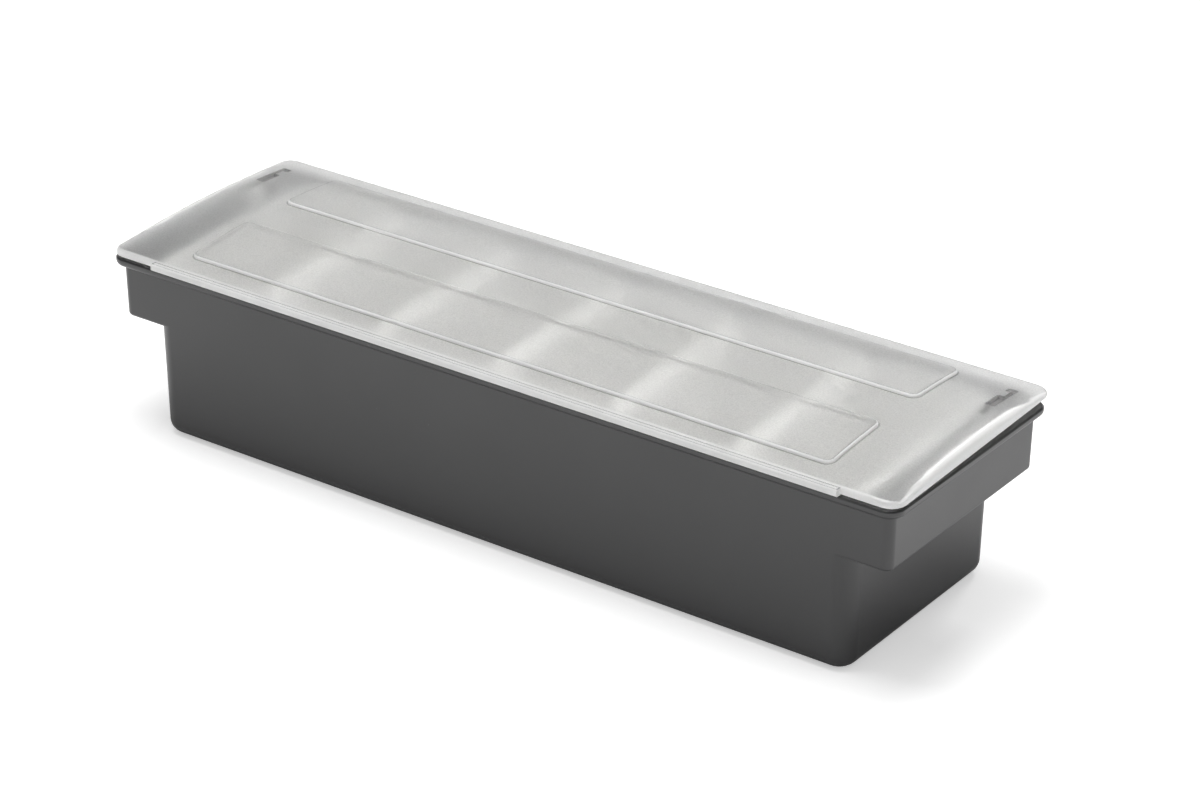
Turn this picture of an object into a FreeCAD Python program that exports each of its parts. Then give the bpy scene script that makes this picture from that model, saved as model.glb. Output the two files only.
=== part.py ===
import FreeCAD, Part
import math
import os

# Bar box with six lift-out inserts under one frosted hinged lid. Lengths in mm, angles in degrees.
# X runs along the box, -Y is the front, +Z is up, and the origin is the middle of the base.

# Tub
rim_length = 500.0
rim_width = 148.0
rim_corner = 9.0
rim_overhang = 4.5
rim_depth = 5.0
rim_top_bevel = 0.8
rim_under_round = 3.0
tub_height = 101.0
tub_wall = 2.5
tub_floor = 4.5
tub_draft_angle = 0.84
step_height = 65.4
step_depth = 21.5
step_round = 2.0
upper_corner = 5.0
lower_corner = 11.0
base_round = 8.0

# Inserts
insert_count = 6
insert_below_rim = 5.0
insert_wall = 1.8
insert_draft_angle = 1.5
insert_corner = 9.0
flange_reach = 3.6
flange_depth = 1.8
flange_gap = 0.6
insert_clearance = 0.4

# Lid shell, heights above the rim's top face
lid_wall = 2.2
lid_front_setback = 1.0
lid_rear_overhang = 2.0
lid_front_gap = 1.3
lid_rear_gap = 5.2
lid_front_rise = 4.6
lid_crown_rise = 10.4
lid_rear_rise = 7.2
lid_crown_setback = 5.0
lid_front_round = 2.4
lid_rear_round = 1.4
end_roll = 8.5
outer_roll_steps = 5
inner_roll_steps = 3
end_face_share = 0.35

# Lid's finger lip
lip_from_end = 32.0
lip_reach = 2.0
lip_gap = 0.3
lip_height = 3.9
lip_round = 1.2
lip_root = 1.0

# Raised panels on the lid
panel_slot_gap = 29.75
panel_front_margin = 13.5
panel_rear_margin = 13.0
panel_gap = 31.5
panel_gap_setback = 3.25
panel_corner = 5.0
panel_rise = 1.6
panel_edge_round = 1.2

# Slots above the hinge arms
slot_from_end = 14.0
slot_width = 4.5
slot_from_rear = 14.3
slot_length = 23.2
slot_mouth = 12.5
slot_tail = 2.7
slot_slit = 1.2

# Hinge
pivot_from_rear = 13.0
pivot_below_rim = 13.0
pin_diameter = 4.0
pin_seat_clearance = 0.02
pin_turn_clearance = 0.05
pin_end_clearance = 0.3
pin_head_diameter = 7.0
pin_head_depth = 1.5
arm_width = 4.5
arm_leg = 10.0
arm_foot = 8.0
arm_outer_round = 6.0
arm_inner_round = 3.0
arm_eye_diameter = 10.0
hinge_side_gap = 0.4
lug_width = 4.0
lug_diameter = 11.0

# How far cutting shapes run past the faces they open, and how close counts as touching
overrun = 2.0
touch = 0.0001

# Levels and half sizes that the pieces share
tub_slope = math.tan(math.radians(tub_draft_angle))
insert_slope = math.tan(math.radians(insert_draft_angle))
half_length = rim_length / 2
half_width = rim_width / 2
step_top = step_height + tub_wall
insert_top = tub_height - insert_below_rim
pivot_y = half_width - pivot_from_rear
pivot_z = tub_height - pivot_below_rim
lid_front = lid_front_setback - half_width
lid_rear = half_width + lid_rear_overhang
slot_in = half_length - slot_from_end - slot_width / 2
lip_half = half_length - lip_from_end
panel_half = slot_in - panel_slot_gap


def vec(x, y, z):
    return FreeCAD.Vector(x, y, z)


def line(a, b):
    return Part.LineSegment(a, b).toShape()


def arc(a, middle, b):
    return Part.Arc(a, middle, b).toShape()


def cylinder_x(diameter, x_from, x_to, y, z):
    return Part.makeCylinder(diameter / 2, x_to - x_from, vec(x_from, y, z), vec(1, 0, 0))


def rounded_wire(x_from, x_to, y_from, y_to, corner, z):
    # Rounded rectangle at height z, four straight sides and four quarter arcs
    near = corner * (1 - math.sqrt(0.5))
    sides = [
        ((x_from + corner, y_from), (x_to - corner, y_from)),
        ((x_to, y_from + corner), (x_to, y_to - corner)),
        ((x_to - corner, y_to), (x_from + corner, y_to)),
        ((x_from, y_to - corner), (x_from, y_from + corner)),
    ]
    mids = [
        (x_to - near, y_from + near),
        (x_to - near, y_to - near),
        (x_from + near, y_to - near),
        (x_from + near, y_from + near),
    ]
    edges = []
    for i, (start, end) in enumerate(sides):
        after = sides[(i + 1) % len(sides)][0]
        edges.append(line(vec(*start, z), vec(*end, z)))
        edges.append(arc(vec(*end, z), vec(*mids[i], z), vec(*after, z)))
    return Part.Wire(edges)


def prism(x_from, x_to, y_from, y_to, corner, z_from, z_to):
    face = Part.Face(rounded_wire(x_from, x_to, y_from, y_to, corner, z_from))
    return face.extrude(vec(0, 0, z_to - z_from))


def drafted(half_x, half_y, z_from, z_to, slope, z_full):
    # Block with flat sides that has its full half sizes at z_full and narrows downwards
    def ring(z):
        x = half_x - slope * (z_full - z)
        y = half_y - slope * (z_full - z)
        return [vec(-x, -y, z), vec(x, -y, z), vec(x, y, z), vec(-x, y, z)]

    low, high = ring(z_from), ring(z_to)
    sides = [[low[i - 1], low[i], high[i], high[i - 1]] for i in range(len(low))]
    faces = [Part.Face(Part.makePolygon(points + points[:1])) for points in [low[::-1], high] + sides]
    return Part.makeSolid(Part.makeShell(faces))


def level_edges(shape, z):
    return [e for e in shape.Edges if all(abs(v.Z - z) < touch for v in e.Vertexes)]


def upright_edges(shape):
    return [e for e in shape.Edges if abs(e.Vertexes[0].Z - e.Vertexes[-1].Z) > touch]


def round_level(shape, radius, z):
    return shape.makeFillet(radius, level_edges(shape, z))


# Tub


def tub_half_x(z):
    return half_length - rim_overhang - tub_slope * (tub_height - z)


def tub_half_y(z):
    return half_width - rim_overhang - tub_slope * (tub_height - z)


def tub_block(inset, z_from, z_to, corner, x_setback):
    half_x = half_length - rim_overhang - x_setback - inset
    half_y = half_width - rim_overhang - inset
    block = drafted(half_x, half_y, z_from, z_to, tub_slope, tub_height)
    return block.makeFillet(corner - inset, upright_edges(block))


def tub_rim():
    low = tub_height - rim_depth
    block = prism(-half_length, half_length, -half_width, half_width, rim_corner, low, tub_height)
    block = block.makeChamfer(rim_top_bevel, level_edges(block, tub_height))
    return round_level(block, rim_under_round, low)


def tub_cavity():
    above = tub_height + overrun
    low = tub_block(tub_wall, tub_floor, above, lower_corner, step_depth)
    high = tub_block(tub_wall, step_top, above, upper_corner, 0)
    return low.fuse(high)


def hinge_places():
    # Places across one end well, from the middle of the box outwards
    arm_middle = half_length - slot_from_end
    arm_in = arm_middle - arm_width / 2
    arm_out = arm_middle + arm_width / 2
    return {
        "arm_in": arm_in,
        "arm_out": arm_out,
        "lug_in": arm_in - hinge_side_gap - lug_width,
        "boss_in": arm_out + hinge_side_gap,
        "wall_in": tub_half_x(pivot_z) - tub_wall,
    }


def hinge_lug(at):
    # Upright lug on the ledge and a boss on the end wall, either side of the lid's arm
    x = at["lug_in"]
    y_front = pivot_y - lug_diameter / 2
    y_rear = pivot_y + lug_diameter / 2
    foot_z = step_top - tub_wall / 2
    crown = vec(x, pivot_y, pivot_z + lug_diameter / 2)
    wire = Part.Wire([
        line(vec(x, y_front, pivot_z), vec(x, y_front, foot_z)),
        line(vec(x, y_front, foot_z), vec(x, y_rear, foot_z)),
        line(vec(x, y_rear, foot_z), vec(x, y_rear, pivot_z)),
        arc(vec(x, y_rear, pivot_z), crown, vec(x, y_front, pivot_z)),
    ])
    lug = Part.Face(wire).extrude(vec(lug_width, 0, 0))
    boss = cylinder_x(lug_diameter, at["boss_in"], at["wall_in"] + tub_wall / 2, pivot_y, pivot_z)
    return lug, boss


def both_ends(shape):
    return [shape, shape.mirror(vec(0, 0, 0), vec(1, 0, 0))]


def tub():
    lower = round_level(tub_block(0, 0, tub_height, lower_corner, step_depth), base_round, 0)
    upper = round_level(tub_block(0, step_height, tub_height, upper_corner, 0), step_round, step_height)
    shell = lower.fuse([upper, tub_rim()]).removeSplitter()
    shell = shell.cut(tub_cavity())
    at = hinge_places()
    seat = pin_diameter + 2 * pin_seat_clearance
    bore = cylinder_x(seat, at["lug_in"] - overrun, at["wall_in"], pivot_y, pivot_z)
    for holder in hinge_lug(at):
        shell = shell.fuse(both_ends(holder))
    return shell.cut(both_ends(bore)).removeSplitter()


# Inserts


def insert_pitch():
    # The end inserts' bodies clear the tub's lower end walls at the height of the ledge
    lower_half = tub_half_x(step_top) - step_depth - tub_wall
    taper = insert_slope * (insert_top - step_top)
    return 2 * (lower_half - insert_clearance + flange_reach + flange_gap / 2 + taper) / insert_count


def insert_block(inset, z_to):
    half_x = (insert_pitch() - flange_gap) / 2 - flange_reach - inset
    half_y = insert_flange_y() - flange_reach - inset
    floor_z = tub_floor + inset
    block = drafted(half_x, half_y, floor_z, z_to, insert_slope, insert_top)
    return block.makeFillet(insert_corner - inset, upright_edges(block))


def insert_flange_y():
    return tub_half_y(insert_top - flange_depth) - tub_wall - insert_clearance


def insert():
    flange_x = (insert_pitch() - flange_gap) / 2
    flange_y = insert_flange_y()
    corner = insert_corner + flange_reach
    flange = prism(-flange_x, flange_x, -flange_y, flange_y, corner, insert_top - flange_depth, insert_top)
    body = insert_block(0, insert_top).fuse(flange)
    return body.cut(insert_block(insert_wall, insert_top + overrun)).removeSplitter()


# Lid


def circle_through(a, b, c):
    # Centre and radius of the circle through three (y, z) points
    (ya, za), (yb, zb), (yc, zc) = a, b, c
    turn = 2 * (ya * (zb - zc) + yb * (zc - za) + yc * (za - zb))
    aa, bb, cc = ya * ya + za * za, yb * yb + zb * zb, yc * yc + zc * zc
    y = (aa * (zb - zc) + bb * (zc - za) + cc * (za - zb)) / turn
    z = (aa * (yc - yb) + bb * (ya - yc) + cc * (yb - ya)) / turn
    return y, z, math.hypot(ya - y, za - z)


arch_y, arch_z, arch_radius = circle_through(
    (lid_front, tub_height + lid_front_rise),
    (lid_crown_setback, tub_height + lid_crown_rise),
    (lid_rear, tub_height + lid_rear_rise),
)


def arch(y):
    return arch_z + math.sqrt(arch_radius ** 2 - (y - arch_y) ** 2)


def skirt_foot(y):
    # Straight lower edge of the end skirts, higher at the rear to clear the rim as the lid turns
    share = (y - lid_front) / (lid_rear - lid_front)
    return tub_height + lid_front_gap + share * (lid_rear_gap - lid_front_gap)


def outer_section(x, inset, height_share):
    def top(y, drop):
        foot = skirt_foot(y)
        return vec(x, y, foot + height_share * (arch(y) - drop - foot))

    lean = math.sqrt(0.5)
    front = lid_front + inset
    rear = lid_rear - inset
    front_in = front + lid_front_round
    rear_in = rear - lid_rear_round
    front_foot = vec(x, front, skirt_foot(front))
    rear_foot = vec(x, rear, skirt_foot(rear))
    front_face = top(front, lid_front_round)
    rear_face = top(rear, lid_rear_round)
    front_mid = top(front_in - lid_front_round * lean, lid_front_round * (1 - lean))
    rear_mid = top(rear_in + lid_rear_round * lean, lid_rear_round * (1 - lean))
    return Part.Wire([
        line(rear_foot, front_foot),
        line(front_foot, front_face),
        arc(front_face, front_mid, top(front_in, 0)),
        arc(top(front_in, 0), top(lid_crown_setback, 0), top(rear_in, 0)),
        arc(top(rear_in, 0), rear_mid, rear_face),
        line(rear_face, rear_foot),
    ])


def inner_section(x, inset, height_share):
    def top(y):
        foot = skirt_foot(y)
        return vec(x, y, foot + height_share * (arch(y) - lid_wall - foot))

    front = lid_front + lid_wall + inset
    rear = lid_rear - lid_wall - inset
    front_low = vec(x, front, skirt_foot(front) - overrun)
    rear_low = vec(x, rear, skirt_foot(rear) - overrun)
    return Part.Wire([
        line(rear_low, front_low),
        line(front_low, top(front)),
        arc(top(front), top(lid_crown_setback), top(rear)),
        line(top(rear), rear_low),
    ])


def rolled_length(section, roll, steps):
    # Straight run along X, with both ends rolled over and in at the corners to a short upright face
    straight = half_length - end_roll
    sections = []
    for step in range(steps + 1):
        turn = math.radians(90 * step / steps)
        share = end_face_share + (1 - end_face_share) * math.cos(turn)
        sections.append(section(straight + roll * math.sin(turn), roll * (1 - math.cos(turn)), share))
    middle = Part.Face(section(-straight, 0, 1)).extrude(vec(2 * straight, 0, 0))
    return middle.fuse(both_ends(Part.makeLoft(sections, True, True)))


def arch_slab(x_half, y_from, y_to, corner, below, above):
    # Slab that follows the arch, from one distance below its surface to another above it
    def point(y, offset):
        radius = arch_radius + offset
        return vec(-x_half, y, arch_z + math.sqrt(radius ** 2 - (y - arch_y) ** 2))

    y_mid = (y_from + y_to) / 2
    wire = Part.Wire([
        line(point(y_from, -below), point(y_from, above)),
        arc(point(y_from, above), point(y_mid, above), point(y_to, above)),
        line(point(y_to, above), point(y_to, -below)),
        arc(point(y_to, -below), point(y_mid, -below), point(y_from, -below)),
    ])
    slab = Part.Face(wire).extrude(vec(2 * x_half, 0, 0))
    outline = prism(-x_half, x_half, y_from, y_to, corner, tub_height, tub_height + 2 * lid_crown_rise)
    return slab.common(outline)


def panel(y_from, y_to):
    slab = arch_slab(panel_half, y_from, y_to, panel_corner, lid_wall / 2, panel_rise)

    def on_top(edge):
        ends = [edge.valueAt(edge.FirstParameter), edge.valueAt(edge.LastParameter)]
        middle = edge.valueAt((edge.FirstParameter + edge.LastParameter) / 2)
        reach = arch_radius + panel_rise
        return all(abs(math.hypot(p.y - arch_y, p.z - arch_z) - reach) < touch for p in ends + [middle])

    return slab.makeFillet(panel_edge_round, [e for e in slab.Edges if on_top(e)])


def panel_recess(y_from, y_to):
    return arch_slab(panel_half - lid_wall, y_from + lid_wall, y_to - lid_wall, panel_corner - lid_wall,
                     lid_wall + overrun, panel_rise - lid_wall)


def lip():
    # Finger lip along the front, over the rim's edge, with its front edges rounded
    low = tub_height + lip_gap
    high = low + lip_height
    front = -half_width - lip_reach
    root = lid_front + lip_root
    flat = front + lip_round
    near = lip_round * (1 - math.sqrt(0.5))
    x = -lip_half
    wire = Part.Wire([
        line(vec(x, root, high), vec(x, flat, high)),
        arc(vec(x, flat, high), vec(x, front + near, high - near), vec(x, front, high - lip_round)),
        line(vec(x, front, high - lip_round), vec(x, front, low + lip_round)),
        arc(vec(x, front, low + lip_round), vec(x, front + near, low + near), vec(x, flat, low)),
        line(vec(x, flat, low), vec(x, root, low)),
        line(vec(x, root, low), vec(x, root, high)),
    ])
    return Part.Face(wire).extrude(vec(2 * lip_half, 0, 0))


def slot_cut():
    # Slot with a tongue left standing on its inner side
    x_out = slot_in + slot_width
    x_slit = x_out - slot_slit
    y_rear = half_width - slot_from_rear
    y_front = y_rear - slot_length
    y_mouth = y_front + slot_mouth
    y_tail = y_rear - slot_tail
    low = tub_height
    points = [
        (slot_in, y_front), (x_out, y_front), (x_out, y_rear), (slot_in, y_rear),
        (slot_in, y_tail), (x_slit, y_tail), (x_slit, y_mouth), (slot_in, y_mouth), (slot_in, y_front),
    ]
    outline = Part.makePolygon([vec(x, y, low) for x, y in points])
    return Part.Face(outline).extrude(vec(0, 0, 2 * lid_crown_rise))


def arm():
    # Goose-neck arm: a leg down from the lid in front of the slot and a foot back to the pivot
    at = hinge_places()
    x = at["arm_in"]
    y_rear = half_width - slot_from_rear - slot_length
    y_front = y_rear - arm_leg
    foot_low = pivot_z - arm_foot / 2
    foot_top = pivot_z + arm_foot / 2
    near = 1 - math.sqrt(0.5)
    outer, inner = arm_outer_round, arm_inner_round
    root_front = vec(x, y_front, arch(y_front) - lid_wall / 2)
    root_rear = vec(x, y_rear, arch(y_rear) - lid_wall / 2)
    wire = Part.Wire([
        line(root_front, vec(x, y_front, foot_low + outer)),
        arc(vec(x, y_front, foot_low + outer), vec(x, y_front + outer * near, foot_low + outer * near),
            vec(x, y_front + outer, foot_low)),
        line(vec(x, y_front + outer, foot_low), vec(x, pivot_y, foot_low)),
        line(vec(x, pivot_y, foot_low), vec(x, pivot_y, foot_top)),
        line(vec(x, pivot_y, foot_top), vec(x, y_rear + inner, foot_top)),
        arc(vec(x, y_rear + inner, foot_top), vec(x, y_rear + inner * near, foot_top + inner * near),
            vec(x, y_rear, foot_top + inner)),
        line(vec(x, y_rear, foot_top + inner), root_rear),
        line(root_rear, root_front),
    ])
    body = Part.Face(wire).extrude(vec(arm_width, 0, 0))
    body = body.fuse(cylinder_x(arm_eye_diameter, x, at["arm_out"], pivot_y, pivot_z))
    eye = pin_diameter + 2 * pin_turn_clearance
    bore = cylinder_x(eye, x - overrun, at["arm_out"] + overrun, pivot_y, pivot_z)
    return body.cut(bore).removeSplitter()


def lid():
    shell = rolled_length(outer_section, end_roll, outer_roll_steps)
    hollow = rolled_length(inner_section, end_roll - lid_wall, inner_roll_steps)
    panels = [
        (lid_front + panel_front_margin, panel_gap_setback - panel_gap / 2),
        (panel_gap_setback + panel_gap / 2, lid_rear - panel_rear_margin),
    ]
    shell = shell.cut(hollow)
    shell = shell.fuse([panel(*span) for span in panels] + [lip()])
    shell = shell.cut([panel_recess(*span) for span in panels])
    shell = shell.cut(both_ends(slot_cut()))
    return shell.fuse(both_ends(arm())).removeSplitter()


# Hinge pin, headed on the side of the inserts


def hinge_pin():
    at = hinge_places()
    head_in = at["lug_in"] - pin_head_depth
    shaft = cylinder_x(pin_diameter, head_in, at["wall_in"] - pin_end_clearance, pivot_y, pivot_z)
    head = cylinder_x(pin_head_diameter, head_in, at["lug_in"], pivot_y, pivot_z)
    return shaft.fuse(head).removeSplitter()


def main():
    pieces = {"tub": tub(), "lid": lid()}
    right_pin, left_pin = both_ends(hinge_pin())
    pieces["hinge_pin_left"] = left_pin
    pieces["hinge_pin_right"] = right_pin
    one_insert = insert()
    for i in range(insert_count):
        place = one_insert.copy()
        place.translate(vec((i - (insert_count - 1) / 2) * insert_pitch(), 0, 0))
        pieces["insert_%d" % (i + 1)] = place
    os.makedirs("parts", exist_ok=True)
    for name, shape in pieces.items():
        shape.exportStep("parts/%s.step" % name)
        box = shape.BoundBox
        print(name, "solids", len(shape.Solids), "valid", shape.isValid(), "volume", round(shape.Volume, 1),
              "box", [round(v, 2) for v in (box.XMin, box.XMax, box.YMin, box.YMax, box.ZMin, box.ZMax)])


main()
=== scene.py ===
import math
import bmesh
import bpy
from mathutils import Matrix, Vector


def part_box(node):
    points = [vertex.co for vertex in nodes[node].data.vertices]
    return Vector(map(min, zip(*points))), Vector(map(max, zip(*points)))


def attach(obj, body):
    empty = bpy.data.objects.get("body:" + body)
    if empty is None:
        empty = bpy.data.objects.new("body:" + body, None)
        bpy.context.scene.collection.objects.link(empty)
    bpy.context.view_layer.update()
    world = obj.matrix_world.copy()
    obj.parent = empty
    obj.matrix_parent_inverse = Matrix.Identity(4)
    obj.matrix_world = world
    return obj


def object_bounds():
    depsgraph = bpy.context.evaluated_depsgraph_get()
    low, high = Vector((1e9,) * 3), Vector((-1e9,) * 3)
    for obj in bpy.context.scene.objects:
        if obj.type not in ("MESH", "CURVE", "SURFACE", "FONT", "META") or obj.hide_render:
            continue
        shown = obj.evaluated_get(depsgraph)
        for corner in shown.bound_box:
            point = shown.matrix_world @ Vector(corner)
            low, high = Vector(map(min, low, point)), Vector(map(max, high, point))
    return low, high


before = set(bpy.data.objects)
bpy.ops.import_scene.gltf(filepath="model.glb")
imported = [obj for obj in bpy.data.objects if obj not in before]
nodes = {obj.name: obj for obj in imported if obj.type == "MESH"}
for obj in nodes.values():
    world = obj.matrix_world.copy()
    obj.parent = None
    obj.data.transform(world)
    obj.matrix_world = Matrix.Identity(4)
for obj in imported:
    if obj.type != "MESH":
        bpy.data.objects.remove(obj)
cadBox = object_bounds()
insertNames = sorted(n for n in nodes if n.startswith("insert"))
pinNames = sorted(n for n in nodes if n.startswith("hinge_pin"))
print("frame loaded:", len(nodes), "nodes")

mm = 0.001


# small helpers for node trees
def addNode(tree, kind, inputs=None, **settings):
    node = tree.nodes.new(kind)
    for key, value in settings.items():
        setattr(node, key, value)
    for key, value in (inputs or {}).items():
        if isinstance(value, bpy.types.NodeSocket):
            tree.links.new(value, node.inputs[key])
        else:
            node.inputs[key].default_value = value
    return node


def mathNode(tree, operation, a, b=0.0, clamp=False):
    return addNode(tree, "ShaderNodeMath", {0: a, 1: b}, operation=operation, use_clamp=clamp).outputs[0]


def spread(tree, value, fromLow, fromHigh, toLow, toHigh):
    ends = {"Value": value, "From Min": fromLow, "From Max": fromHigh, "To Min": toLow, "To Max": toHigh}
    return addNode(tree, "ShaderNodeMapRange", ends).outputs["Result"]


# the mix node keeps its values at sockets 2 and 3, its colours at 6 and 7
def mixValue(tree, factor, a, b):
    return addNode(tree, "ShaderNodeMix", {0: factor, 2: a, 3: b}).outputs[0]


def mixColour(tree, factor, a, b):
    return addNode(tree, "ShaderNodeMix", {0: factor, 6: a, 7: b}, data_type="RGBA").outputs[2]


def rgba(colour):
    return (*colour, 1.0)


def newGroup(name, inputs, outputs):
    tree = bpy.data.node_groups.new(name, "ShaderNodeTree")
    for label, value in inputs:
        socket = tree.interface.new_socket(label, in_out="INPUT", socket_type="NodeSocketFloat")
        socket.default_value = value
    for label, kind in outputs:
        tree.interface.new_socket(label, in_out="OUTPUT", socket_type=kind)
    return tree, tree.nodes.new("NodeGroupInput"), tree.nodes.new("NodeGroupOutput")


def placeGroup(tree, group, values):
    return addNode(tree, "ShaderNodeGroup", values, node_tree=group)


# mould grain: fine texture of the tool's surface, sizes in metres
grainNoise = {
    "detail": 2.0,
    "rough": 0.6,
    "cloudDetail": 4.0,
    "cloudRough": 0.55,
    "cloudLow": 0.3,   # part of the noise that fills the whole mask
    "cloudHigh": 0.7,
}


def buildMouldGrain(look):
    tree, inside, out = newGroup(
        "mouldGrain",
        [("Grain Size", 0.4 * mm), ("Cloud Size", 60 * mm)],
        [("Grain", "NodeSocketFloat"), ("Clouds", "NodeSocketFloat")],
    )
    place = addNode(tree, "ShaderNodeTexCoord").outputs["Object"]
    grain = addNode(tree, "ShaderNodeTexNoise", {
        "Vector": place,
        "Scale": mathNode(tree, "DIVIDE", 1.0, inside.outputs["Grain Size"]),
        "Detail": look["detail"],
        "Roughness": look["rough"],
    })
    clouds = addNode(tree, "ShaderNodeTexNoise", {
        "Vector": place,
        "Scale": mathNode(tree, "DIVIDE", 1.0, inside.outputs["Cloud Size"]),
        "Detail": look["cloudDetail"],
        "Roughness": look["cloudRough"],
    })
    mask = spread(tree, clouds.outputs["Fac"], look["cloudLow"], look["cloudHigh"], 0.0, 1.0)
    tree.links.new(grain.outputs["Fac"], out.inputs["Grain"])
    tree.links.new(mask, out.inputs["Clouds"])
    return tree


# edge rub: rounds the look of moulded edges and marks them, radius in metres
edgeTurn = {
    "samples": 6,
    "full": 0.75,  # cosine of the turn at which the mark is full
}


def buildEdgeRub(look):
    tree, inside, out = newGroup(
        "edgeRub", [("Radius", 0.5 * mm)], [("Rounded", "NodeSocketVector"), ("Edge", "NodeSocketFloat")]
    )
    bevel = addNode(tree, "ShaderNodeBevel", {"Radius": inside.outputs["Radius"]}, samples=look["samples"])
    face = addNode(tree, "ShaderNodeNewGeometry").outputs["Normal"]
    normals = {0: bevel.outputs["Normal"], 1: face}
    turn = addNode(tree, "ShaderNodeVectorMath", normals, operation="DOT_PRODUCT").outputs["Value"]
    tree.links.new(bevel.outputs["Normal"], out.inputs["Rounded"])
    tree.links.new(spread(tree, turn, 1.0, look["full"], 0.0, 1.0), out.inputs["Edge"])
    return tree


# fine dust: sparse pale specks, spacing in metres and speck as a share of it
def buildDustSpecks():
    tree, inside, out = newGroup(
        "dustSpecks", [("Spacing", 9 * mm), ("Speck", 0.035)], [("Specks", "NodeSocketFloat")]
    )
    place = addNode(tree, "ShaderNodeTexCoord").outputs["Object"]
    scale = mathNode(tree, "DIVIDE", 1.0, inside.outputs["Spacing"])
    cells = addNode(tree, "ShaderNodeTexVoronoi", {"Vector": place, "Scale": scale})
    pick = addNode(tree, "ShaderNodeSeparateColor", {"Color": cells.outputs["Color"]}).outputs[0]
    size = mathNode(tree, "MULTIPLY", inside.outputs["Speck"], pick)
    away = mathNode(tree, "DIVIDE", cells.outputs["Distance"], size)
    nearness = mathNode(tree, "SUBTRACT", 1.0, away, clamp=True)
    tree.links.new(nearness, out.inputs["Specks"])
    return tree


mouldGrain = buildMouldGrain(grainNoise)
edgeRub = buildEdgeRub(edgeTurn)
dustSpecks = buildDustSpecks()
print("finish groups built: mouldGrain, edgeRub, dustSpecks")


# what the materials share
def newMaterial(name):
    material = bpy.data.materials.new(name)
    material.use_nodes = True
    tree = material.node_tree
    return material, tree, tree.nodes["Principled BSDF"]


def placeGrain(tree, look):
    return placeGroup(tree, mouldGrain, {"Grain Size": look["grainSize"], "Cloud Size": look["cloudSize"]})


def cloudedRough(tree, grain, look):
    return spread(tree, grain.outputs["Clouds"], 0.0, 1.0, look["roughLow"], look["roughHigh"])


def grainBump(tree, grain, look, rounded=None):
    inputs = {
        "Height": grain.outputs["Grain"],
        "Strength": look["grainStrength"],
        "Distance": look["grainHeight"],
    }
    if rounded is not None:
        inputs["Normal"] = rounded
    return addNode(tree, "ShaderNodeBump", inputs).outputs["Normal"]


def feedShader(tree, shader, colour, rough, normal):
    tree.links.new(colour, shader.inputs["Base Color"])
    tree.links.new(rough, shader.inputs["Roughness"])
    tree.links.new(normal, shader.inputs["Normal"])


def dress(names, material):
    for name in names:
        mesh = nodes[name].data
        mesh.materials.clear()
        mesh.materials.append(material)


# tub: satin black moulding
tubFinish = {
    "black": (0.019, 0.019, 0.020),
    "worn": (0.040, 0.040, 0.041),
    "speck": (0.22, 0.22, 0.21),
    "speckSpacing": 11 * mm,
    "speckSize": 0.03,  # share of the spacing
    "shine": 0.75,
    "roughLow": 0.32,
    "roughHigh": 0.40,
    "grainSize": 0.35 * mm,
    "cloudSize": 70 * mm,
    "grainHeight": 0.05 * mm,
    "grainStrength": 0.5,
    "edgeRadius": 0.5 * mm,
    "edgeGloss": 0.6,
    "edgeGlossRough": 0.2,
}


def tubMaterial(look):
    material, tree, shader = newMaterial("satinBlackPlastic")
    grain = placeGrain(tree, look)
    rub = placeGroup(tree, edgeRub, {"Radius": look["edgeRadius"]})
    dust = placeGroup(tree, dustSpecks, {"Spacing": look["speckSpacing"], "Speck": look["speckSize"]})
    worn = mathNode(tree, "MULTIPLY", rub.outputs["Edge"], grain.outputs["Clouds"])
    colour = mixColour(tree, worn, rgba(look["black"]), rgba(look["worn"]))
    colour = mixColour(tree, dust.outputs["Specks"], colour, rgba(look["speck"]))
    normal = grainBump(tree, grain, look, rub.outputs["Rounded"])
    feedShader(tree, shader, colour, cloudedRough(tree, grain, look), normal)
    gloss = mathNode(tree, "MULTIPLY", rub.outputs["Edge"], look["edgeGloss"])
    tree.links.new(gloss, shader.inputs["Coat Weight"])
    shader.inputs["Coat Roughness"].default_value = look["edgeGlossRough"]
    shader.inputs["Specular IOR Level"].default_value = look["shine"]
    return material


dress(["tub"], tubMaterial(tubFinish))
print("tub dressed")


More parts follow.
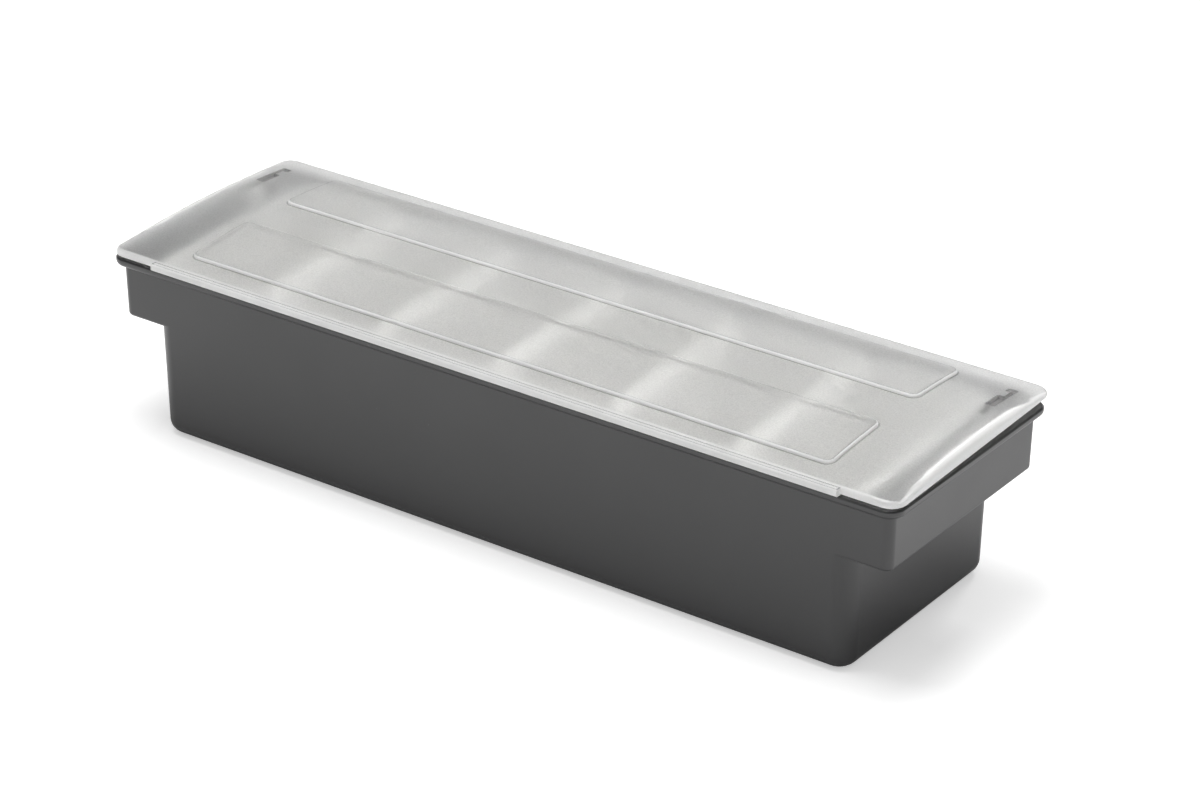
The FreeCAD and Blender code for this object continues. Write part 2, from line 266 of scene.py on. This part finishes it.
# lid: frosted moulding, with painted light on the rounds and sides and painted shade along the panel
# edges, slots and recesses
lidLook = {
    "top": {
        "clear": (0.93, 0.93, 0.925),
        "milky": (0.88, 0.88, 0.87),
        "shade": (0.0, 0.0, 0.0),
        "grainShade": 0.24,  # how much the grain darkens its hollows
        "hollowFull": 0.35,  # height of the grain where a hollow is darkest, and where it ends
        "hollowEnd": 0.65,
        "paintedEdgeShade": 0.80,   # painted shade: how much the top darkens along the edges of its panels
        "edgeStart": 0.01,   # mark of the edge where that line starts, and where it is darkest
        "edgeFull": 0.07,
        "edgeRadius": 1.8 * mm,
        "roughLow": 0.34,
        "roughHigh": 0.40,
        "gloss": 0.0,
        "glossRough": 0.30,
        "grainSize": 0.8 * mm,
        "cloudSize": 45 * mm,
        "grainHeight": 0.12 * mm,
        "grainStrength": 0.5,
        "throughLight": 0.92,
        "refraction": 1.49,
    },
    # what differs from the top: the sides and lip are rougher and glossier, and painted light makes them
    # whiter and less clear; the hollows get painted shade
    "side": {
        "clear": (0.95, 0.95, 0.945),
        "milky": (0.92, 0.92, 0.91),
        "grainShade": 0.05,
        "paintedEdgeShade": 0.0,
        "roughLow": 0.40,
        "roughHigh": 0.50,
        "gloss": 0.6,
        "throughLight": 0.44,
    },
    # painted shade: a darker, less clear copy for the walls of the slots and of the recesses under the
    # panels, and for the slot webs
    "hollow": {
        "clear": (0.50, 0.49, 0.49),
        "milky": (0.46, 0.45, 0.45),
        "grainShade": 0.20,
        "paintedEdgeShade": 0.30,
        "throughLight": 0.40,
    },
    # what differs from the sides: a stronger painted shade line on the lip's top, and a painted highlight
    # on the panels' outer rounds
    # the lip's top: a stronger, wider painted shade line along its edges
    "lipTop": {
        "paintedEdgeShade": 0.85,
        "edgeRadius": 1.7 * mm,
    },
    # painted highlight: the panels' outer rounds, whiter and less clear than the sides
    "paintedHighlightPanelEdge": {
        "clear": (0.97, 0.97, 0.965),
        "milky": (0.95, 0.95, 0.94),
        "throughLight": 0.25,
    },
    # where each finish lies, measured inwards from the object's box
    "zones": {
        "steepBelow": 0.95,         # upward share of a face's normal, below which it is an edge or a side
        "rearBelow": 0.80,          # the same along the rear, so that more of the rear roll keeps the top's finish rather than the sides' painted light
        "lipDepth": 4 * mm,
        "panelFromEnd": 35 * mm,    # the raised panels lie inside these three
        "panelFromFront": 10 * mm,
        "panelFromRear": 8 * mm,
        "gapFromRear": 78 * mm,     # middle of the gap between the panels
        "slotFromEnd": 14 * mm,     # middle of each slot
        "slotReach": 2.6 * mm,      # how far its walls lie from that
        "slotNear": 15.8 * mm,      # nearest and furthest from the rear
        "slotFar": 40 * mm,
        "slotDepth": 9 * mm,
    },
}


def lidMaterial(name, look):
    material, tree, shader = newMaterial(name)
    grain = placeGrain(tree, look)
    rub = placeGroup(tree, edgeRub, {"Radius": look["edgeRadius"]})
    colour = mixColour(tree, grain.outputs["Clouds"], rgba(look["clear"]), rgba(look["milky"]))
    height = grain.outputs["Grain"]
    hollow = spread(tree, height, look["hollowFull"], look["hollowEnd"], look["grainShade"], 0.0)
    # painted shade: a dark line beside the edges, mixed with the darker hollows of the grain
    paintedEdgeLine = spread(tree, rub.outputs["Edge"], look["edgeStart"], look["edgeFull"], 0.0, look["paintedEdgeShade"])
    colour = mixColour(tree, mathNode(tree, "MAXIMUM", hollow, paintedEdgeLine), colour, rgba(look["shade"]))
    feedShader(tree, shader, colour, cloudedRough(tree, grain, look), grainBump(tree, grain, look))
    shader.inputs["Coat Weight"].default_value = look["gloss"]
    shader.inputs["Coat Roughness"].default_value = look["glossRough"]
    shader.inputs["Transmission Weight"].default_value = look["throughLight"]
    shader.inputs["IOR"].default_value = look["refraction"]
    return material


topFinish = lidLook["top"]
paintedLightSideFinish = {**topFinish, **lidLook["side"]}
frosted = lidMaterial("frostedPlastic", topFinish)
frostedSidePaintedLight = lidMaterial("frostedSidePaintedLight", paintedLightSideFinish)
lipTop = lidMaterial("lipTop", {**paintedLightSideFinish, **lidLook["lipTop"]})
paintedHighlightPanelEdge = lidMaterial("paintedHighlightPanelEdge", {**paintedLightSideFinish, **lidLook["paintedHighlightPanelEdge"]})
paintedShadeFrosted = lidMaterial("paintedShadeFrosted", {**topFinish, **lidLook["hollow"]})
lidMaterials = [frosted, frostedSidePaintedLight, lipTop, paintedHighlightPanelEdge, paintedShadeFrosted]


def lidFaceMaterial(face, zones):
    x, y, z = face.center
    out = face.normal
    fromEnd = cadBox[1][0] - abs(x)
    fromRear = cadBox[1][1] - y
    panelFront = cadBox[0][1] + zones["panelFromFront"]
    panelRear = cadBox[1][1] - zones["panelFromRear"]
    if y < cadBox[0][1] + zones["lipDepth"]:
        return lipTop if out.z >= zones["steepBelow"] else frostedSidePaintedLight
    steep = zones["steepBelow"] if y < panelRear else zones["rearBelow"]
    if abs(out.z) >= steep:
        return frosted
    besideSlot = abs(fromEnd - zones["slotFromEnd"]) < zones["slotReach"]
    alongSlot = zones["slotNear"] < fromRear < zones["slotFar"]
    if besideSlot and alongSlot and z > cadBox[1][2] - zones["slotDepth"]:
        return paintedShadeFrosted
    if fromEnd < zones["panelFromEnd"] or not panelFront < y < panelRear:
        return frostedSidePaintedLight
    # walls of the recess below a panel face its middle and get the painted shade; the outer rounds get the
    # painted highlight
    gap = cadBox[1][1] - zones["gapFromRear"]
    panelMiddle = (gap + (panelFront if y < gap else panelRear)) / 2
    inward = -x * out.x if abs(out.x) > abs(out.y) else (panelMiddle - y) * out.y
    return paintedShadeFrosted if inward > 0 else paintedHighlightPanelEdge


def dressLid(zones):
    dress(["lid"], frosted)
    mesh = nodes["lid"].data
    for material in lidMaterials[1:]:
        mesh.materials.append(material)
    for face in mesh.polygons:
        face.material_index = lidMaterials.index(lidFaceMaterial(face, zones))
    used = [face.material_index for face in mesh.polygons]
    print("lid faces by finish:", [used.count(k) for k in range(len(lidMaterials))])


dressLid(lidLook["zones"])
print("lid dressed")


# webs that close the mouths of the lid's two slots from below, in the painted-shade finish
slotWeb = {
    "fromEnd": lidLook["zones"]["slotFromEnd"],
    "fromRear": 33.25 * mm,  # middle of the mouth, from the object's rear
    "width": 7.5 * mm,
    "length": 15.5 * mm,
    "thick": 0.8 * mm,
    "round": 0.3 * mm,
    "roundSteps": 2,
}


def makeSlotWeb(name, x, look):
    y = cadBox[1][1] - look["fromRear"]
    # the lid's underside is looked for just inwards of the slot, from the height of the tub's top
    below = Vector((x - math.copysign(look["width"], x), y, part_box("tub")[1][2]))
    hit, spot, _, _ = nodes["lid"].ray_cast(below, Vector((0, 0, 1)))
    shape = bmesh.new()
    bmesh.ops.create_cube(shape, size=1.0)
    bmesh.ops.scale(shape, vec=(look["width"], look["length"], look["thick"]), verts=shape.verts)
    bmesh.ops.bevel(
        shape, geom=shape.edges[:], offset=look["round"], segments=look["roundSteps"],
        profile=0.5, affect="EDGES",
    )
    bmesh.ops.translate(shape, vec=(x, y, spot.z - look["thick"] / 2), verts=shape.verts)
    mesh = bpy.data.meshes.new(name)
    shape.to_mesh(mesh)
    shape.free()
    mesh.materials.append(paintedShadeFrosted)
    web = bpy.data.objects.new(name, mesh)
    bpy.context.scene.collection.objects.link(web)
    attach(web, "lid")
    print(name, "found lid:", hit, "at", round(spot.z / mm, 2))


makeSlotWeb("slotWebLeft", cadBox[0][0] + slotWeb["fromEnd"], slotWeb)
makeSlotWeb("slotWebRight", cadBox[1][0] - slotWeb["fromEnd"], slotWeb)


# inserts: smooth white moulding
insertFinish = {
    "white": (0.86, 0.855, 0.84),
    "shade": (0.80, 0.795, 0.78),
    "roughLow": 0.30,
    "roughHigh": 0.42,
    "grainSize": 0.5 * mm,
    "cloudSize": 40 * mm,
    "grainHeight": 0.03 * mm,
    "grainStrength": 0.4,
    "edgeRadius": 1.0 * mm,
}


def insertMaterial(look):
    material, tree, shader = newMaterial("whitePlastic")
    grain = placeGrain(tree, look)
    rub = placeGroup(tree, edgeRub, {"Radius": look["edgeRadius"]})
    colour = mixColour(tree, grain.outputs["Clouds"], rgba(look["white"]), rgba(look["shade"]))
    normal = grainBump(tree, grain, look, rub.outputs["Rounded"])
    feedShader(tree, shader, colour, cloudedRough(tree, grain, look), normal)
    return material


dress(insertNames, insertMaterial(insertFinish))
print("inserts dressed:", len(insertNames))


# hinge pins: drawn stainless steel
pinFinish = {
    "steel": (0.62, 0.62, 0.60),
    "dull": (0.50, 0.50, 0.49),
    "roughLow": 0.22,
    "roughHigh": 0.38,
    "grainLow": 0.3,   # height of the grain where the steel is smoothest, and roughest
    "grainHigh": 0.7,
    "grainSize": 0.15 * mm,
    "cloudSize": 3 * mm,
    "grainHeight": 0.01 * mm,
    "grainStrength": 0.3,
}


def pinMaterial(look):
    material, tree, shader = newMaterial("pinSteel")
    grain = placeGrain(tree, look)
    height = grain.outputs["Grain"]
    colour = mixColour(tree, grain.outputs["Clouds"], rgba(look["steel"]), rgba(look["dull"]))
    rough = spread(tree, height, look["grainLow"], look["grainHigh"], look["roughLow"], look["roughHigh"])
    feedShader(tree, shader, colour, rough, grainBump(tree, grain, look))
    shader.inputs["Metallic"].default_value = 1.0
    return material


dress(pinNames, pinMaterial(pinFinish))
print("hinge pins dressed")


# smooth shading over the rounds, crisp over the corners
shading = {
    "crease": math.radians(32),
    "join": 0.005 * mm,
    "flatWeight": 90,
}


def buildCreases(look):
    tree = bpy.data.node_groups.new("mouldedCreases", "GeometryNodeTree")
    tree.interface.new_socket("Geometry", in_out="INPUT", socket_type="NodeSocketGeometry")
    tree.interface.new_socket("Geometry", in_out="OUTPUT", socket_type="NodeSocketGeometry")
    inside = tree.nodes.new("NodeGroupInput")
    out = tree.nodes.new("NodeGroupOutput")
    joined = addNode(tree, "GeometryNodeMergeByDistance", {
        "Geometry": inside.outputs[0], "Distance": look["join"],
    })
    angle = addNode(tree, "GeometryNodeInputMeshEdgeAngle").outputs["Unsigned Angle"]
    soft = addNode(tree, "FunctionNodeCompare", {0: angle, 1: look["crease"]}, operation="LESS_THAN")
    faces = addNode(tree, "GeometryNodeSetShadeSmooth", {
        "Geometry": joined.outputs[0], "Shade Smooth": True,
    }, domain="FACE")
    edges = addNode(tree, "GeometryNodeSetShadeSmooth", {
        "Geometry": faces.outputs[0], "Shade Smooth": soft.outputs[0],
    }, domain="EDGE")
    tree.links.new(edges.outputs[0], out.inputs[0])
    return tree


creases = buildCreases(shading)
for node in nodes.values():
    node.modifiers.new("creases", "NODES").node_group = creases
    evened = node.modifiers.new("evened", "WEIGHTED_NORMAL")
    evened.keep_sharp = True
    evened.weight = shading["flatWeight"]
print("shading evened")


# floor: pale sweep that keeps the shadow
floorLook = {
    "size": 12.0,
    "white": (0.90, 0.90, 0.90),
    "cloud": (0.885, 0.885, 0.885),
    "grainSize": 2 * mm,
    "cloudSize": 400 * mm,
    "rough": 0.9,
    "shine": 0.0,
    "lift": 0.44,
    "mirrorLift": 0.5,   # the same in reflections
    "throughLift": 0.1,  # the same through the lid
    "paintedGlowFrom": 5 * mm,  # painted shadow in reflections: how far from the object the reflected lift starts, and is full
    "paintedGlowFull": 130 * mm,
    "paintedGlowEndGain": 2.0,      # painted light: how much sooner the reflected lift is full off the ends
}


# distance over the floor from the object's box
def distanceOff(tree, look):
    spot = addNode(tree, "ShaderNodeTexCoord").outputs["Object"]
    place = addNode(tree, "ShaderNodeSeparateXYZ", {0: spot})
    outside = []
    for axis in (0, 1):
        middle = (cadBox[0][axis] + cadBox[1][axis]) / 2
        half = (cadBox[1][axis] - cadBox[0][axis]) / 2
        away = mathNode(tree, "ABSOLUTE", mathNode(tree, "SUBTRACT", place.outputs[axis], middle))
        outside.append(mathNode(tree, "MAXIMUM", mathNode(tree, "SUBTRACT", away, half), 0.0))
    offEnds = mathNode(tree, "MULTIPLY", outside[0], look["paintedGlowEndGain"])
    apart = addNode(tree, "ShaderNodeCombineXYZ", {0: offEnds, 1: outside[1]}).outputs[0]
    return addNode(tree, "ShaderNodeVectorMath", {0: apart}, operation="LENGTH").outputs["Value"]


def floorMaterial(look):
    material, tree, shader = newMaterial("paleFloor")
    grain = placeGrain(tree, look)
    colour = mixColour(tree, grain.outputs["Clouds"], rgba(look["white"]), rgba(look["cloud"]))
    # painted shadow and light in reflections: the floor's reflected lift is nil near the object and grows
    # with distance, sooner off the ends
    paintedGlow = spread(tree, distanceOff(tree, look), look["paintedGlowFrom"], look["paintedGlowFull"], 0.0, 1.0)
    path = addNode(tree, "ShaderNodeLightPath")
    mirrored = mathNode(tree, "MULTIPLY", path.outputs["Is Glossy Ray"], look["mirrorLift"])
    mirrored = mathNode(tree, "MULTIPLY", mirrored, paintedGlow)
    mirrored = mixValue(tree, path.outputs["Is Transmission Ray"], mirrored, look["throughLift"])
    seen = mathNode(tree, "MULTIPLY", path.outputs["Is Camera Ray"], look["lift"])
    tree.links.new(colour, shader.inputs["Base Color"])
    tree.links.new(mathNode(tree, "MAXIMUM", seen, mirrored), shader.inputs["Emission Strength"])
    shader.inputs["Emission Color"].default_value = (1, 1, 1, 1)
    shader.inputs["Roughness"].default_value = look["rough"]
    shader.inputs["Specular IOR Level"].default_value = look["shine"]
    return material


def makeFloor(look):
    mesh = bpy.data.meshes.new("floor")
    shape = bmesh.new()
    bmesh.ops.create_grid(shape, x_segments=1, y_segments=1, size=look["size"] / 2)
    shape.to_mesh(mesh)
    shape.free()
    mesh.materials.append(floorMaterial(look))
    floor = bpy.data.objects.new("floor", mesh)
    bpy.context.scene.collection.objects.link(floor)


makeFloor(floorLook)
print("floor laid")


# studio: a soft dome and two large soft boxes, sizes in metres
studio = {
    "dome": 0.45,
    "horizon": 1.0,   # what shiny faces see low down, and overhead
    "overhead": 0.2,
    "skyLow": 0.05,   # upward share of their direction where that change starts, and ends
    "skyHigh": 0.35,
    "under": 4.0,     # what lights the inside through the lid
    "boxes": {
        "topBox": {"place": (-0.2, -0.1, 2.0), "size": 0.9, "power": 20.0},
        "rearBox": {"place": (0.05, 1.4, 1.35), "size": 0.4, "power": 7.0},
    },
    "aim": (0.0, 0.0, 0.05),
}


def softBox(name, look, aim):
    lamp = bpy.data.lights.new(name, "AREA")
    lamp.shape = "SQUARE"
    lamp.size = look["size"]
    lamp.energy = look["power"]
    box = bpy.data.objects.new(name, lamp)
    box.location = look["place"]
    box.rotation_euler = (Vector(aim) - Vector(look["place"])).to_track_quat("-Z", "Y").to_euler()
    bpy.context.scene.collection.objects.link(box)


def lightStudio(look):
    world = bpy.data.worlds.new("studio")
    world.use_nodes = True
    tree = world.node_tree
    path = addNode(tree, "ShaderNodeLightPath")
    through = path.outputs["Is Transmission Ray"]
    inside = mathNode(tree, "MINIMUM", path.outputs["Diffuse Depth"], through)
    bright = mathNode(tree, "MAXIMUM", path.outputs["Is Camera Ray"], inside)
    shiny = mathNode(tree, "MAXIMUM", path.outputs["Is Glossy Ray"], through)
    heading = addNode(tree, "ShaderNodeTexCoord").outputs["Generated"]
    upward = addNode(tree, "ShaderNodeSeparateXYZ", {0: heading}).outputs["Z"]
    mirrored = spread(tree, upward, look["skyLow"], look["skyHigh"], look["horizon"], look["overhead"])
    whole = mixValue(tree, inside, look["horizon"], look["under"])
    strength = mixValue(tree, bright, mixValue(tree, shiny, look["dome"], mirrored), whole)
    background = tree.nodes["Background"]
    background.inputs["Color"].default_value = (1, 1, 1, 1)
    tree.links.new(strength, background.inputs["Strength"])
    bpy.context.scene.world = world
    for name, box in look["boxes"].items():
        softBox(name, box, look["aim"])


lightStudio(studio)
bpy.context.scene.view_settings.view_transform = "Standard"
print("studio lit")


# camera at the photograph's angle, lengths in metres, for a frame of 1200 x 790
view = {
    "azimuth": math.radians(35.57),  # from the front towards the right end
    "elevation": math.radians(26.502),
    "roll": math.radians(0.396),
    "distance": 1.9459,
    "aimHeight": 0.05,
    "aimRight": 0.02051,
    "aimUp": 0.00984,
    "lens": 110.57,                  # millimetres, as the sensor is
    "sensor": 36.0,
    "clipEnd": 50.0,
}


def placeCamera(look):
    a, e, roll = look["azimuth"], look["elevation"], look["roll"]
    back = Vector((math.sin(a) * math.cos(e), -math.cos(a) * math.cos(e), math.sin(e)))
    level = Vector((math.cos(a), math.sin(a), 0.0))
    upright = back.cross(level)
    right = math.cos(roll) * level + math.sin(roll) * upright
    up = math.cos(roll) * upright - math.sin(roll) * level
    aim = Vector((0, 0, look["aimHeight"])) + look["aimRight"] * right + look["aimUp"] * up
    place = aim + look["distance"] * back
    lens = bpy.data.cameras.new("photoView")
    lens.lens = look["lens"]
    lens.sensor_width = look["sensor"]
    lens.clip_end = look["clipEnd"]
    camera = bpy.data.objects.new("photoView", lens)
    camera.matrix_world = Matrix.Translation(place) @ Matrix((right, up, back)).transposed().to_4x4()
    bpy.context.scene.collection.objects.link(camera)
    bpy.context.scene.camera = camera


placeCamera(view)
print("camera placed")
